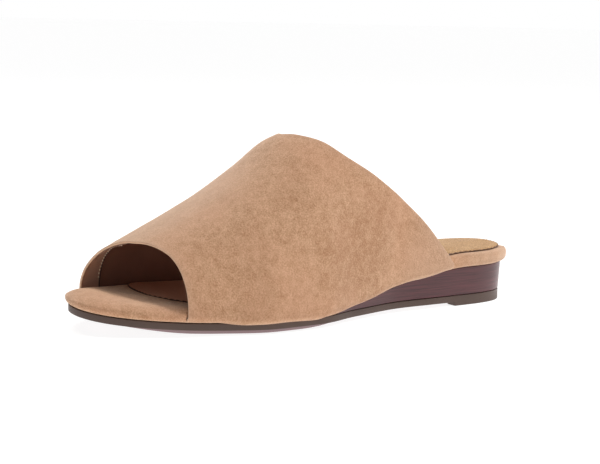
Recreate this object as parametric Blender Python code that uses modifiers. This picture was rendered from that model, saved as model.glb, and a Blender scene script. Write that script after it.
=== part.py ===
"""Open-toe slide sandal, left shoe: a one-piece suede vamp on a wrapped footbed and a low demi-wedge.

The toe points along -Y, the outer side of the foot is +X, and the tread stands on Z = 0.
A station is a distance back from the tip of the footbed's toe.
"""
from collections import namedtuple
from math import cos, pi, sin

import bmesh
import bpy

# Driving dimensions of the last and the footbed, in metres
FOOTBED_LENGTH = 0.252
BALL_WIDTH = 0.090
HEEL_WIDTH = 0.058
TOE_ROUNDING = 0.052
HEEL_ROUNDING = 0.034
TOE_SWING = 0.004
TOE_SPRING = 0.0049
HEEL_SEAT_RISE = 0.0143
INSTEP_HEIGHT = 0.0855
FOOTBED_THICKNESS = 0.007
FOOTBED_TOP_RADIUS = 0.003
FOOTBED_LOWER_RADIUS = 0.0026

# Driving dimensions of the sole under it
TREAD_HEIGHT = 0.002
OUTSOLE_THICKNESS = 0.0034
OUTSOLE_INSET = 0.0015
OUTSOLE_EDGE = 0.0003
HEEL_INSET = 0.0028
TREAD_INSET = 0.0026
TREAD_DRAFT = 0.0008
HEEL_TREAD_LENGTH = 0.0425
BREAST_DRAFT = 0.0004
WEDGE_LEAN = 0.0008
WEDGE_FEATHER = 0.0004

# Driving dimensions of the vamp and the sock lining
UPPER_WALL = 0.0018
UPPER_PROUD = 0.0012
LASTING_MARGIN = 0.010
MARGIN_CUT_BACK = 0.004
SOCK_THICKNESS = 0.0012
SOCK_INSET = 0.004
SOCK_EDGE = 0.0005
SOCK_FRONT = 0.0417
SOCK_FRONT_ROUNDING = 0.012
CLEARANCE = 0.0003

# Powers of the rounded ends and shares of the footbed's length where its shape changes
TOE_POWER = 2.2
HEEL_POWER = 2.5
SOCK_FRONT_POWER = 2.2
TOE_SWING_END = 0.36
TOE_SPRING_END = 0.31
TREAD_FRONT = 0.016
TREAD_FULL = 0.18
TREAD_FADE = 0.40
TREAD_END = 0.53
BALL_END = 0.44
HEEL_START = 0.74

# Footbed outline: each side of the centre line, as shares of the reference width at that station
Plan = namedtuple("Plan", "at outer inner")
FOOTBED_PLAN = (
    Plan(0.00, 0.347, 0.341),
    Plan(0.06, 0.382, 0.393),
    Plan(0.14, 0.407, 0.442),
    Plan(0.24, 0.466, 0.467),
    Plan(0.34, 0.533, 0.451),
    Plan(0.44, 0.519, 0.414),
    Plan(0.54, 0.470, 0.406),
    Plan(0.64, 0.481, 0.461),
    Plan(0.74, 0.521, 0.512),
    Plan(0.84, 0.510, 0.510),
    Plan(0.92, 0.490, 0.505),
    Plan(1.00, 0.486, 0.493),
)

# Shank: how far the footbed's underside has climbed, as a share of the heel seat's rise
Shank = namedtuple("Shank", "at rise")
SHANK = (
    Shank(0.366, 0.000),
    Shank(0.45, 0.012),
    Shank(0.55, 0.220),
    Shank(0.65, 0.550),
    Shank(0.75, 0.877),
    Shank(0.85, 1.050),
    Shank(0.93, 1.050),
    Shank(1.00, 1.000),
)

# Vamp sections: crest as a share of the instep height, ridge towards the inner side as a share
# of the ball width, and the power that rounds each shoulder
Section = namedtuple("Section", "at crest ridge outer_shoulder inner_shoulder")
VAMP_SECTIONS = (
    Section(0.06, 0.300, 0.03, 2.3, 2.4),
    Section(0.10, 0.350, 0.03, 2.3, 2.5),
    Section(0.135, 0.395, 0.04, 2.2, 2.5),
    Section(0.16, 0.430, 0.04, 2.2, 2.6),
    Section(0.21, 0.505, 0.05, 2.2, 2.7),
    Section(0.26, 0.585, 0.06, 2.2, 2.7),
    Section(0.30, 0.652, 0.07, 2.2, 2.6),
    Section(0.38, 0.810, 0.09, 2.1, 2.4),
    Section(0.464, 0.990, 0.10, 2.0, 2.2),
    Section(0.55, 1.070, 0.11, 2.0, 2.0),
    Section(0.65, 1.120, 0.11, 2.0, 2.0),
    Section(0.75, 1.150, 0.11, 2.0, 2.0),
    Section(0.85, 1.160, 0.11, 2.0, 2.0),
)

# Cut edges of the vamp, from the outer side's base (0) over the crest (0.5) to the inner side's
# base (1): shares of the footbed's length of the toe opening and of the collar
Cut = namedtuple("Cut", "at opening collar")
VAMP_CUTS = (
    Cut(0.000, 0.1630, 0.806),
    Cut(0.017, 0.1630, 0.798),
    Cut(0.043, 0.1630, 0.770),
    Cut(0.100, 0.1625, 0.714),
    Cut(0.192, 0.1605, 0.624),
    Cut(0.286, 0.1560, 0.550),
    Cut(0.346, 0.1500, 0.518),
    Cut(0.425, 0.1400, 0.482),
    Cut(0.500, 0.1258, 0.464),
    Cut(0.575, 0.1120, 0.480),
    Cut(0.654, 0.0990, 0.518),
    Cut(0.750, 0.0885, 0.580),
    Cut(0.860, 0.0790, 0.672),
    Cut(0.957, 0.0762, 0.762),
    Cut(1.000, 0.0760, 0.794),
)

# How finely the curved faces are divided
SOLE_STEPS = 44
ROUNDING_STEPS = 3
VAMP_ROWS = 26
ARCH_STEPS = 24
CORNER_STEPS = 3
MARGIN_STEPS = 2
WELD = 0.00001


def clamp(value):
    return min(max(value, 0.0), 1.0)


def ease(value):
    """A smooth step from 0 to 1."""
    value = clamp(value)
    return value * value * (3 - 2 * value)


def read(table, column, at):
    """A table's column at a share, on a smooth curve that never overshoots its rows."""
    places = [row.at for row in table]
    values = [getattr(row, column) for row in table]
    at = min(max(at, places[0]), places[-1])
    slopes = []
    for i in range(len(table) - 1):
        slopes.append((values[i + 1] - values[i]) / (places[i + 1] - places[i]))
    bends = [slopes[0]]
    for before, after in zip(slopes, slopes[1:]):
        bends.append(2 * before * after / (before + after) if before * after > 0 else 0.0)
    bends.append(slopes[-1])
    i = max(k for k in range(len(table) - 1) if places[k] <= at)
    width = places[i + 1] - places[i]
    t = (at - places[i]) / width
    near = (1 + 2 * t) * (1 - t) ** 2 * values[i] + t * t * (3 - 2 * t) * values[i + 1]
    return near + width * (t * (1 - t) ** 2 * bends[i] - t * t * (1 - t) * bends[i + 1])


def spaced(first, last, steps, tight_start=True, tight_end=True):
    """Stations from first to last, closer together at the ends that are rounded."""
    shares = [i / steps for i in range(steps + 1)]
    if tight_start and tight_end:
        shares = [(1 - cos(pi * t)) / 2 for t in shares]
    elif tight_start:
        shares = [1 - cos(pi * t / 2) for t in shares]
    elif tight_end:
        shares = [sin(pi * t / 2) for t in shares]
    return [first + (last - first) * t for t in shares]


def rounded_end(distance, radius, power):
    """Share of the full width at a distance behind a rounded end."""
    return (1 - (1 - clamp(distance / radius)) ** power) ** (1 / power)


def centre_line(station):
    """The last's centre line, which swings to the inner side at the toe."""
    return -TOE_SWING * clamp(1 - station / (TOE_SWING_END * FOOTBED_LENGTH)) ** 2


def reference_width(station):
    share = station / FOOTBED_LENGTH
    return BALL_WIDTH + (HEEL_WIDTH - BALL_WIDTH) * ease((share - BALL_END) / (HEEL_START - BALL_END))


def outline(station, inset=0.0):
    """The outer and inner X of the footbed's outline, moved in by an inset."""
    share = station / FOOTBED_LENGTH
    width = reference_width(station)
    toe = rounded_end(station - inset, TOE_ROUNDING - inset, TOE_POWER)
    heel = rounded_end(FOOTBED_LENGTH - inset - station, HEEL_ROUNDING - inset, HEEL_POWER)
    outer = (width * read(FOOTBED_PLAN, "outer", share) - inset) * toe * heel
    inner = (width * read(FOOTBED_PLAN, "inner", share) - inset) * toe * heel
    middle = centre_line(station)
    return middle + outer, middle - inner


def sole_inset(station):
    """How far wedge and outsole stand in from the footbed's rim: little at the toe, more at the heel."""
    share = station / FOOTBED_LENGTH
    return OUTSOLE_INSET + (HEEL_INSET - OUTSOLE_INSET) * ease((share - BALL_END) / (HEEL_START - BALL_END))


def toe_lift(station):
    return TOE_SPRING * clamp(1 - station / (TOE_SPRING_END * FOOTBED_LENGTH)) ** 2


def outsole_top(station):
    return TREAD_HEIGHT + OUTSOLE_THICKNESS + toe_lift(station)


def shank_rise(station):
    return HEEL_SEAT_RISE * read(SHANK, "rise", station / FOOTBED_LENGTH)


def footbed_underside(station):
    return outsole_top(station) + CLEARANCE + shank_rise(station)


def footbed_top(station):
    return footbed_underside(station) + FOOTBED_THICKNESS


def ring(stations, sides, height):
    """A closed ring of points: back along the outer side, then forward along the inner one."""
    outer = [(sides(s)[0], s - FOOTBED_LENGTH / 2, height(s)) for s in stations]
    inner = [(sides(s)[1], s - FOOTBED_LENGTH / 2, height(s)) for s in reversed(stations)]
    return outer + inner


def material(name, color, roughness):
    made = bpy.data.materials.new(name)
    made.use_nodes = True
    shader = made.node_tree.nodes["Principled BSDF"]
    shader.inputs["Base Color"].default_value = (*color, 1)
    shader.inputs["Roughness"].default_value = roughness
    shader.inputs["Metallic"].default_value = 0.0
    return made


def add_object(name, mesh, collection):
    made = bpy.data.objects.new(name, mesh)
    collection.objects.link(made)
    made.parent = shoe
    return made


def stacked_rings(name, rings, finish, crease=40):
    """A closed solid through rings stacked from its lowest to its highest, each end shut by a ladder."""
    shape = bmesh.new()
    rows = [[shape.verts.new(point) for point in points] for points in rings]
    count = len(rows[0])
    for low, high in zip(rows, rows[1:]):
        for i in range(count):
            j = (i + 1) % count
            shape.faces.new((low[j], low[i], high[i], high[j]))
    for i in range(count // 2 - 1):
        a, b, c, d = i, i + 1, count - 2 - i, count - 1 - i
        shape.faces.new([rows[0][k] for k in (a, b, c, d)])
        shape.faces.new([rows[-1][k] for k in (d, c, b, a)])
    bmesh.ops.remove_doubles(shape, verts=shape.verts, dist=WELD)
    bmesh.ops.recalc_face_normals(shape, faces=shape.faces)
    mesh = bpy.data.meshes.new(name)
    shape.to_mesh(mesh)
    shape.free()
    mesh.shade_smooth()
    mesh.set_sharp_from_angle(angle=crease * pi / 180)
    mesh.materials.append(finish)
    return add_object(name, mesh, parts)


def quarter_round(radius):
    """Inset and height of points round a quarter circle, from its base inwards to its top."""
    angles = [pi / 2 * i / ROUNDING_STEPS for i in range(ROUNDING_STEPS + 1)]
    return [(radius * (1 - cos(a)), radius * sin(a)) for a in angles]


def slab(name, finish, stations, levels):
    """A solid through levels, each an inset of the footbed's outline and a height."""
    rings = []
    for inset, height in levels:
        rings.append(ring(stations(inset), lambda s, i=inset: outline(s, i), height))
    return stacked_rings(name, rings, finish)


def above(surface, rise):
    return lambda station: surface(station) + rise


def add_footbed():
    """The wrapped platform, with a small lower radius and a rounder rim on top."""
    finish = material("footbed_suede", (0.56, 0.32, 0.19), 0.9)
    levels = []
    for inset, height in reversed(quarter_round(FOOTBED_LOWER_RADIUS)):
        levels.append((inset, above(footbed_underside, FOOTBED_LOWER_RADIUS - height)))
    for inset, height in quarter_round(FOOTBED_TOP_RADIUS):
        levels.append((inset, above(footbed_top, height - FOOTBED_TOP_RADIUS)))

    def stations(inset):
        return spaced(inset, FOOTBED_LENGTH - inset, SOLE_STEPS)

    return slab("footbed", finish, stations, levels)


def add_sock_lining():
    """The leather insole pad, which stops short of the toe and stands in from the footbed's rim."""
    finish = material("sock_leather", (0.55, 0.36, 0.19), 0.6)
    rings = []
    top = CLEARANCE + SOCK_THICKNESS
    for edge, rise in ((0.0, CLEARANCE), (0.0, top - SOCK_EDGE), (SOCK_EDGE, top)):
        inset = SOCK_INSET + edge
        front = SOCK_FRONT + edge

        def sides(station, inset=inset, front=front):
            outer, inner = outline(station, inset)
            share = rounded_end(station - front, SOCK_FRONT_ROUNDING, SOCK_FRONT_POWER)
            middle = (outer + inner) / 2
            return middle + (outer - middle) * share, middle + (inner - middle) * share

        stations = spaced(front, FOOTBED_LENGTH - inset, SOLE_STEPS)
        rings.append(ring(stations, sides, above(footbed_top, rise)))
    return stacked_rings("sock_lining", rings, finish)


def wedge_front():
    """The station where the gap under the footbed first takes the wedge's feather edge."""
    step = FOOTBED_LENGTH / 2000
    station = SHANK[0].at * FOOTBED_LENGTH
    while shank_rise(station) < WEDGE_FEATHER + CLEARANCE:
        station += step
    return station


def add_heel_wedge():
    """The stacked demi-wedge: nothing at the ball, full height at the heel, its wall leaning in."""
    finish = material("stacked_wedge", (0.14, 0.07, 0.08), 0.35)
    rings = []
    floor = above(outsole_top, CLEARANCE)
    roof = above(footbed_underside, -CLEARANCE)
    full_height = HEEL_SEAT_RISE - CLEARANCE
    for share in (0.0, 0.5, 1.0):
        def height(station, share=share):
            return floor(station) + (roof(station) - floor(station)) * share

        def sides(station, share=share, height=height):
            lean = WEDGE_LEAN * (roof(station) - height(station)) / full_height
            return outline(station, sole_inset(station) + lean)

        last = FOOTBED_LENGTH - HEEL_INSET - WEDGE_LEAN * (1 - share)
        stations = spaced(wedge_front(), last, SOLE_STEPS, tight_start=False)
        rings.append(ring(stations, sides, height))
    return stacked_rings("heel_wedge", rings, finish)


def tread(station):
    """Share of the tread's height that stands down at a station: the forefoot pad, then the heel pad."""
    share = station / FOOTBED_LENGTH
    if station > FOOTBED_LENGTH - HEEL_TREAD_LENGTH + BREAST_DRAFT / 2 - HEEL_INSET:
        return 1.0
    rise = ease((share - TREAD_FRONT) / (TREAD_FULL - TREAD_FRONT))
    return rise * (1 - ease((share - TREAD_FADE) / (TREAD_END - TREAD_FADE)))


def add_outsole():
    """The rubber moulding: a raised forefoot tread that fades into the waist, and a stepped heel tread."""
    finish = material("outsole_rubber", (0.16, 0.115, 0.105), 0.7)
    breast = FOOTBED_LENGTH - HEEL_INSET - HEEL_TREAD_LENGTH

    def side_foot(station):
        return 0.0 if station > breast + BREAST_DRAFT / 2 else TREAD_HEIGHT + toe_lift(station)

    def tread_foot(station):
        return TREAD_HEIGHT * (1 - tread(station)) + toe_lift(station)

    levels = (
        (TREAD_INSET + TREAD_DRAFT, tread_foot),
        (TREAD_INSET, side_foot),
        (OUTSOLE_EDGE, side_foot),
        (0.0, above(side_foot, OUTSOLE_EDGE)),
        (0.0, outsole_top),
    )
    rings = []
    for extra, height in levels:
        def sides(station, extra=extra):
            lean = WEDGE_LEAN * shank_rise(station) / HEEL_SEAT_RISE
            return outline(station, sole_inset(station) + lean + extra)

        first = OUTSOLE_INSET + extra
        last = FOOTBED_LENGTH - HEEL_INSET - WEDGE_LEAN - extra
        front = spaced(first, breast, SOLE_STEPS - 10, tight_end=False)
        back = spaced(breast + BREAST_DRAFT, last, 10, tight_start=False)
        rings.append(ring(front + back, sides, height))
    return stacked_rings("outsole", rings, finish)


def vamp_columns():
    """The columns of the vamp's grid, from one turned-in margin over the crest to the other."""
    margin = [("margin", i / MARGIN_STEPS) for i in range(MARGIN_STEPS)]
    corner = [("corner", i / CORNER_STEPS) for i in range(CORNER_STEPS)]
    arch = [(0, "arch", i / ARCH_STEPS) for i in range(ARCH_STEPS + 1)]
    outer = [(0, zone, t) for zone, t in margin + corner]
    inner = [(1, zone, t) for zone, t in reversed(margin + corner)]
    return outer + arch + inner


def vamp_point(station, column, spread):
    """A point of the vamp's outer face at a station, in one column of its grid."""
    side, zone, t = column
    share = station / FOOTBED_LENGTH
    edges = outline(station, -UPPER_PROUD)
    base = footbed_underside(station)
    radius = FOOTBED_LOWER_RADIUS + UPPER_PROUD
    inward = -1 if side == 0 else 1
    if zone == "margin":
        return edges[side] + inward * (radius + (LASTING_MARGIN + spread) * (1 - t)), base
    if zone == "corner":
        angle = pi / 2 * (t - 1)
        return edges[side] + inward * radius * (1 - cos(angle)), base + radius * (1 + sin(angle))
    edge = edges[0] if t <= 0.5 else edges[1]
    power = read(VAMP_SECTIONS, "outer_shoulder" if t <= 0.5 else "inner_shoulder", share)
    ridge = centre_line(station) - BALL_WIDTH * read(VAMP_SECTIONS, "ridge", share)
    crest = base + INSTEP_HEIGHT * read(VAMP_SECTIONS, "crest", share)
    reach = abs(cos(pi * t)) ** (2 / power)
    lift = abs(sin(pi * t)) ** (2 / power)
    return ridge + (edge - ridge) * reach, base + radius + (crest - base - radius) * lift


def vamp_ends(column, spread):
    """The stations of the toe opening and the collar in one column of the vamp's grid."""
    side, zone, t = column
    around = t if zone == "arch" else float(side)
    cut_back = MARGIN_CUT_BACK * (1 - t) if zone == "margin" else 0.0
    opening = FOOTBED_LENGTH * read(VAMP_CUTS, "opening", around)
    collar = FOOTBED_LENGTH * read(VAMP_CUTS, "collar", around)
    return opening + cut_back - spread, collar - cut_back + spread


def add_vamp(name, collection, wall, outside, spread):
    """The vamp as an open sheet given a wall, which reaches a little outside the sheet where asked."""
    shape = bmesh.new()
    grid = []
    for column in vamp_columns():
        opening, collar = vamp_ends(column, spread)
        line = []
        for i in range(VAMP_ROWS + 1):
            station = opening + (collar - opening) * i / VAMP_ROWS
            x, z = vamp_point(station, column, spread)
            line.append(shape.verts.new((x, station - FOOTBED_LENGTH / 2, z)))
        grid.append(line)
    for near, far in zip(grid, grid[1:]):
        for i in range(VAMP_ROWS):
            shape.faces.new((near[i], near[i + 1], far[i + 1], far[i]))
    mesh = bpy.data.meshes.new(name)
    shape.to_mesh(mesh)
    shape.free()
    mesh.shade_smooth()
    made = add_object(name, mesh, collection)
    solidify = made.modifiers.new("wall", "SOLIDIFY")
    solidify.thickness = wall
    solidify.offset = 2 * outside / wall - 1
    solidify.use_even_offset = True
    return made


def add_upper():
    """The one-piece suede vamp, lasted over the foot and turned in under the footbed."""
    upper = add_vamp("upper", parts, UPPER_WALL, 0.0, 0.0)
    upper.data.materials.append(material("vamp_suede", (0.56, 0.32, 0.19), 0.9))
    return upper


def seat_upper_in(footbed):
    """Cut the seat that the vamp lies in, a clearance larger all round, out of the footbed's edge."""
    wall = UPPER_WALL + 2 * CLEARANCE
    space = add_vamp("vamp_space", cutters, wall, CLEARANCE, CLEARANCE)
    space.hide_render = True
    space.display_type = "WIRE"
    cut = footbed.modifiers.new("vamp_seat", "BOOLEAN")
    cut.operation = "DIFFERENCE"
    cut.solver = "EXACT"
    cut.object = space


def centre_shoe():
    """Move the shoe so that the middle of its width is on the Y-Z plane."""
    stations = spaced(0, FOOTBED_LENGTH, 2000)
    outer = max(outline(s, -UPPER_PROUD)[0] for s in stations)
    inner = min(outline(s, -UPPER_PROUD)[1] for s in stations)
    shoe.location.x = -(outer + inner) / 2


for old in list(bpy.data.objects):
    bpy.data.objects.remove(old)
parts = bpy.data.collections.new("slide_sandal")
cutters = bpy.data.collections.new("cutters")
bpy.context.scene.collection.children.link(parts)
bpy.context.scene.collection.children.link(cutters)
shoe = bpy.data.objects.new("shoe_frame", None)
parts.objects.link(shoe)

add_outsole()
add_heel_wedge()
seat_upper_in(add_footbed())
add_sock_lining()
add_upper()
centre_shoe()
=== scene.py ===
# Open-toe slide sandal, left shoe: a one-piece suede vamp on a wrapped footbed and a low demi-wedge.
# The toe points along -Y, the outer side of the foot is +X, and the tread stands on Z = 0. Sizes are
# in metres, and a station is a distance back from the tip of the footbed's toe.
from collections import namedtuple
from math import cos, pi, radians, sin

import bmesh
import bpy
import numpy as np
from mathutils import Matrix, Quaternion, Vector, noise


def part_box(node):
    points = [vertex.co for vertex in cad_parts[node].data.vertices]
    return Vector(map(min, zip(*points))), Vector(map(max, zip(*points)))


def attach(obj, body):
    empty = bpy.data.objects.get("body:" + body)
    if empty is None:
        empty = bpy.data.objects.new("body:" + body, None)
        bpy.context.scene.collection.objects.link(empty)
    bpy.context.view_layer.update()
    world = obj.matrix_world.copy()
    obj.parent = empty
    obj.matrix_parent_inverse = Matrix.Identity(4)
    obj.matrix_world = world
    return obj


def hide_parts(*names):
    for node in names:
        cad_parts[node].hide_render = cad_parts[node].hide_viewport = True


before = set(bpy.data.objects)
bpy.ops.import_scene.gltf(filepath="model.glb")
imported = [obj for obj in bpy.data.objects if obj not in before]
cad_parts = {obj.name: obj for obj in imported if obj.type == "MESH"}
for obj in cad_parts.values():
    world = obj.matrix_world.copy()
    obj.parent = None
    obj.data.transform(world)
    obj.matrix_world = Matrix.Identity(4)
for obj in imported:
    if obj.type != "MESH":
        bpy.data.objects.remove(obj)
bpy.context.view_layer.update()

# Outsole
# One moulding of dark grey-brown rubber: a thin sole with a raised forefoot tread that fades into the
# waist, and a stepped tread under the heel. It comes out of its mould with fine ribs under both
# treads, and is cemented under the wedge and the footbed.
FOOTBED_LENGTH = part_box("footbed")[1].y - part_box("footbed")[0].y
BALL_WIDTH = 0.090
HEEL_WIDTH = 0.058
BALL_END = 0.44
HEEL_START = 0.74
TOE_ROUNDING = 0.052
TOE_POWER = 2.2
HEEL_ROUNDING = 0.034
HEEL_POWER = 2.5
TOE_SWING = 0.004
TOE_SWING_END = 0.36
TOE_SPRING = 0.0049
TOE_SPRING_END = 0.31
VAMP_PROUD = 0.0012
TOE_TWIST = 0.0019
TOE_TWIST_END = 0.056
TOE_TWIST_WIDTH = 0.044
HEEL_KICK = 0.0021
HEEL_KICK_START = 0.228
HEEL_CANT = 0.0013
HEEL_CANT_START = 0.17
HEEL_CANT_LENGTH = 0.04
HEEL_CANT_WIDTH = 0.025
STILL_HEIGHT = 0.4
SHOE_MARGIN = 0.001

# Footbed outline: each side of the centre line, as shares of the reference width at that station
Plan = namedtuple("Plan", "at outer inner")
FOOTBED_PLAN = (
    Plan(0.00, 0.347, 0.341),
    Plan(0.06, 0.382, 0.393),
    Plan(0.14, 0.407, 0.442),
    Plan(0.24, 0.466, 0.467),
    Plan(0.34, 0.533, 0.451),
    Plan(0.44, 0.519, 0.414),
    Plan(0.54, 0.470, 0.406),
    Plan(0.64, 0.481, 0.461),
    Plan(0.74, 0.521, 0.512),
    Plan(0.84, 0.510, 0.510),
    Plan(0.92, 0.490, 0.505),
    Plan(1.00, 0.486, 0.493),
)

# Shank: how far the footbed's underside has climbed, as a share of the heel seat's rise
HEEL_SEAT_RISE = 0.0143
Shank = namedtuple("Shank", "at rise")
SHANK = (
    Shank(0.366, 0.000),
    Shank(0.45, 0.012),
    Shank(0.55, 0.220),
    Shank(0.65, 0.550),
    Shank(0.75, 0.877),
    Shank(0.85, 1.050),
    Shank(0.93, 1.050),
    Shank(1.00, 1.000),
)

TREAD_HEIGHT = 0.002
OUTSOLE_THICKNESS = 0.0034
OUTSOLE_INSET = 0.0015
HEEL_INSET = 0.0028
OUTSOLE_EDGE = 0.0003
OUTSOLE_LEAN = 0.0008
TREAD_INSET = 0.0026
TREAD_DRAFT = 0.0008
TREAD_FRONT = 0.016
TREAD_FULL = 0.18
TREAD_FADE = 0.40
TREAD_END = 0.53
HEEL_TREAD_LENGTH = 0.0425
BREAST_DRAFT = 0.0004
BREAST_MARGIN = 0.0005
TREAD_SIDE_LOW = 0.15
TREAD_SIDE_HIGH = 0.9
TREAD_RIM = 0.0030
RIB_HEIGHT = 0.0005
RIB_WIDTH = 0.0015
RIB_PITCH = 0.0032
RIB_BOW = 0.006
RIB_START = 0.017
RIB_OVERRUN = 0.012
HEEL_RIB_START = 0.0075
HEEL_RIB_MARGIN = 0.004
RIB_END_GAP = 0.0014
RIB_COLUMNS = 21
TREAD_RINGS = 5
SIDE_STEPS = 130
HEEL_STEPS = 30
ARC_STEPS = 4
WELD = 0.000004

# Rib section: places across and heights, as shares of its half width and of its height
RIB_SECTION = ((-1.0, 1.4), (-0.72, 0.0), (0.72, 0.0), (1.0, 1.4))


def clamp(value):
    return np.clip(value, 0.0, 1.0)


def ease(value):
    """A smooth step from 0 to 1."""
    value = clamp(value)
    return value * value * (3 - 2 * value)


def read(table, column, at):
    """A table's column at each share, on a smooth curve that never overshoots its rows."""
    places = np.array([row.at for row in table])
    values = np.array([getattr(row, column) for row in table])
    at = np.clip(at, places[0], places[-1])
    widths = np.diff(places)
    slopes = np.diff(values) / widths
    before, after = slopes[:-1], slopes[1:]
    same_way = before * after > 0
    sums = np.where(same_way, before + after, 1.0)
    inner = np.where(same_way, 2 * before * after / sums, 0.0)
    bends = np.concatenate((slopes[:1], inner, slopes[-1:]))
    i = np.clip(np.searchsorted(places, at, side="right") - 1, 0, len(widths) - 1)
    t = (at - places[i]) / widths[i]
    near = (1 + 2 * t) * (1 - t) ** 2 * values[i] + t * t * (3 - 2 * t) * values[i + 1]
    return near + widths[i] * (t * (1 - t) ** 2 * bends[i] - t * t * (1 - t) * bends[i + 1])


def spaced(first, last, steps, tight_start=True, tight_end=True):
    """Stations from first to last, closer together at the ends that are rounded."""
    shares = np.linspace(0, 1, steps + 1)
    if tight_start and tight_end:
        shares = (1 - np.cos(pi * shares)) / 2
    elif tight_start:
        shares = 1 - np.cos(pi * shares / 2)
    elif tight_end:
        shares = np.sin(pi * shares / 2)
    return first + (last - first) * shares


def rounded_end(distance, radius, power):
    """Share of the full width at a distance behind a rounded end."""
    return (1 - (1 - clamp(distance / radius)) ** power) ** (1 / power)


def centre_line(station):
    """The last's centre line, which swings to the inner side at the toe."""
    return -TOE_SWING * clamp(1 - station / (TOE_SWING_END * FOOTBED_LENGTH)) ** 2


def heel_share(station):
    """0 up to the ball, 1 from the heel's start back."""
    return ease((station / FOOTBED_LENGTH - BALL_END) / (HEEL_START - BALL_END))


def outline(station, inset):
    """The outer and inner X of the footbed's outline, moved in by an inset."""
    share = station / FOOTBED_LENGTH
    width = BALL_WIDTH + (HEEL_WIDTH - BALL_WIDTH) * heel_share(station)
    toe = rounded_end(station - inset, TOE_ROUNDING - inset, TOE_POWER)
    heel = rounded_end(FOOTBED_LENGTH - inset - station, HEEL_ROUNDING - inset, HEEL_POWER)
    outer = (width * read(FOOTBED_PLAN, "outer", share) - inset) * toe * heel
    inner = (width * read(FOOTBED_PLAN, "inner", share) - inset) * toe * heel
    middle = centre_line(station)
    return middle + outer, middle - inner


def toe_lift(station):
    return TOE_SPRING * clamp(1 - station / (TOE_SPRING_END * FOOTBED_LENGTH)) ** 2


def outsole_top(station):
    return TREAD_HEIGHT + OUTSOLE_THICKNESS + toe_lift(station)


def shank_rise(station):
    return HEEL_SEAT_RISE * read(SHANK, "rise", station / FOOTBED_LENGTH)


def sole_inset(station):
    """How far wedge and outsole stand in from the footbed's rim: little at the toe, more at the heel."""
    return OUTSOLE_INSET + (HEEL_INSET - OUTSOLE_INSET) * heel_share(station)


def ring(stations, sides, height):
    """A closed ring of points: back along the outer side, then forward along the inner one."""
    outer, inner = sides(stations)
    there = np.stack((outer, stations - FOOTBED_LENGTH / 2, height(stations)), axis=1)
    back = np.stack((inner, stations - FOOTBED_LENGTH / 2, height(stations)), axis=1)
    return np.concatenate((there, back[::-1]))


def lofted(name, rings, bands=None, tiers=None, nap=None):
    """A closed body through rings of equal count, with each end shut by a ladder of faces across it.

    bands gives the material slot of each face round a ring, or tiers that of each step from ring to
    ring, and nap a value for each point, which its material reads as a distance, or as a tone for wear,
    painted light and painted shade.
    """
    shape = bmesh.new()
    layer = shape.verts.layers.float.new("nap")
    rows = [[shape.verts.new(point) for point in points] for points in rings]
    if nap is not None:
        for row, values in zip(rows, nap):
            for vert, value in zip(row, values):
                vert[layer] = value
    count = len(rows[0])
    bands = [0] * count if bands is None else bands
    tiers = [0] * len(rows) if tiers is None else tiers
    for low, high, tier in zip(rows, rows[1:], tiers):
        for i in range(count):
            j = (i + 1) % count
            face = shape.faces.new((low[j], low[i], high[i], high[j]))
            face.material_index = max(bands[i], tier)
    for i in range(count // 2 - 1):
        a, b, c, d = i, i + 1, count - 2 - i, count - 1 - i
        shape.faces.new([rows[0][k] for k in (a, b, c, d)])
        shape.faces.new([rows[-1][k] for k in (d, c, b, a)])
    bmesh.ops.remove_doubles(shape, verts=shape.verts, dist=WELD)
    bmesh.ops.recalc_face_normals(shape, faces=shape.faces)
    return from_shape(name, shape)


def sprung(point):
    """How far the made-up shoe has sprung: its toe up and its heel seat down towards the inner side,
    and the seat up again at its end.
    """
    station = point.y + FOOTBED_LENGTH / 2
    if not -SHOE_MARGIN < station < FOOTBED_LENGTH + SHOE_MARGIN:
        return 0.0
    inwards = ease(0.5 - (point.x - centre_line(station)) / TOE_TWIST_WIDTH)
    toe = TOE_TWIST * (1 - ease(station / TOE_TWIST_END)) * inwards
    kick = HEEL_KICK * clamp((station - HEEL_KICK_START) / (FOOTBED_LENGTH - HEEL_KICK_START)) ** 2
    inwards = clamp(-point.x / HEEL_CANT_WIDTH)
    cant = HEEL_CANT * ease((station - HEEL_CANT_START) / HEEL_CANT_LENGTH) * inwards
    return toe + (kick - cant) * clamp(point.z / HEEL_SEAT_RISE - STILL_HEIGHT)


def from_shape(name, shape, crease=35):
    """A piece from a finished shape, smooth but for edges sharper than the crease, centred on its width."""
    for vert in shape.verts:
        vert.co.z += sprung(vert.co)
    mesh = bpy.data.meshes.new(name)
    shape.to_mesh(mesh)
    shape.free()
    mesh.shade_smooth()
    mesh.set_sharp_from_angle(angle=radians(crease))
    piece = bpy.data.objects.new(name, mesh)
    bpy.context.scene.collection.objects.link(piece)
    piece.location.x = shoe_middle
    return piece


def linear(code):
    """A linear colour from an sRGB hex value."""
    channels = [int(code[i:i + 2], 16) / 255 for i in (1, 3, 5)]
    return [c / 12.92 if c <= 0.04045 else ((c + 0.055) / 1.055) ** 2.4 for c in channels] + [1.0]


def add_node(made, kind, sockets, **settings):
    """Add a node with its settings. A socket takes a value, an output, or a node's first output in use."""
    node = made.node_tree.nodes.new("ShaderNode" + kind)
    for setting, value in settings.items():
        setattr(node, setting, value)
    for socket, value in sockets.items():
        if isinstance(value, bpy.types.Node):
            value = next(output for output in value.outputs if output.enabled)
        if isinstance(value, bpy.types.NodeSocket):
            made.node_tree.links.new(value, node.inputs[socket])
        else:
            node.inputs[socket].default_value = value
    return node


def start_material(name):
    """A new material, and the place on its piece that its patterns are drawn from."""
    made = bpy.data.materials.new(name)
    made.use_nodes = True
    made.node_tree.nodes.clear()
    return made, add_node(made, "TexCoord", {}).outputs["Object"]


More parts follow.
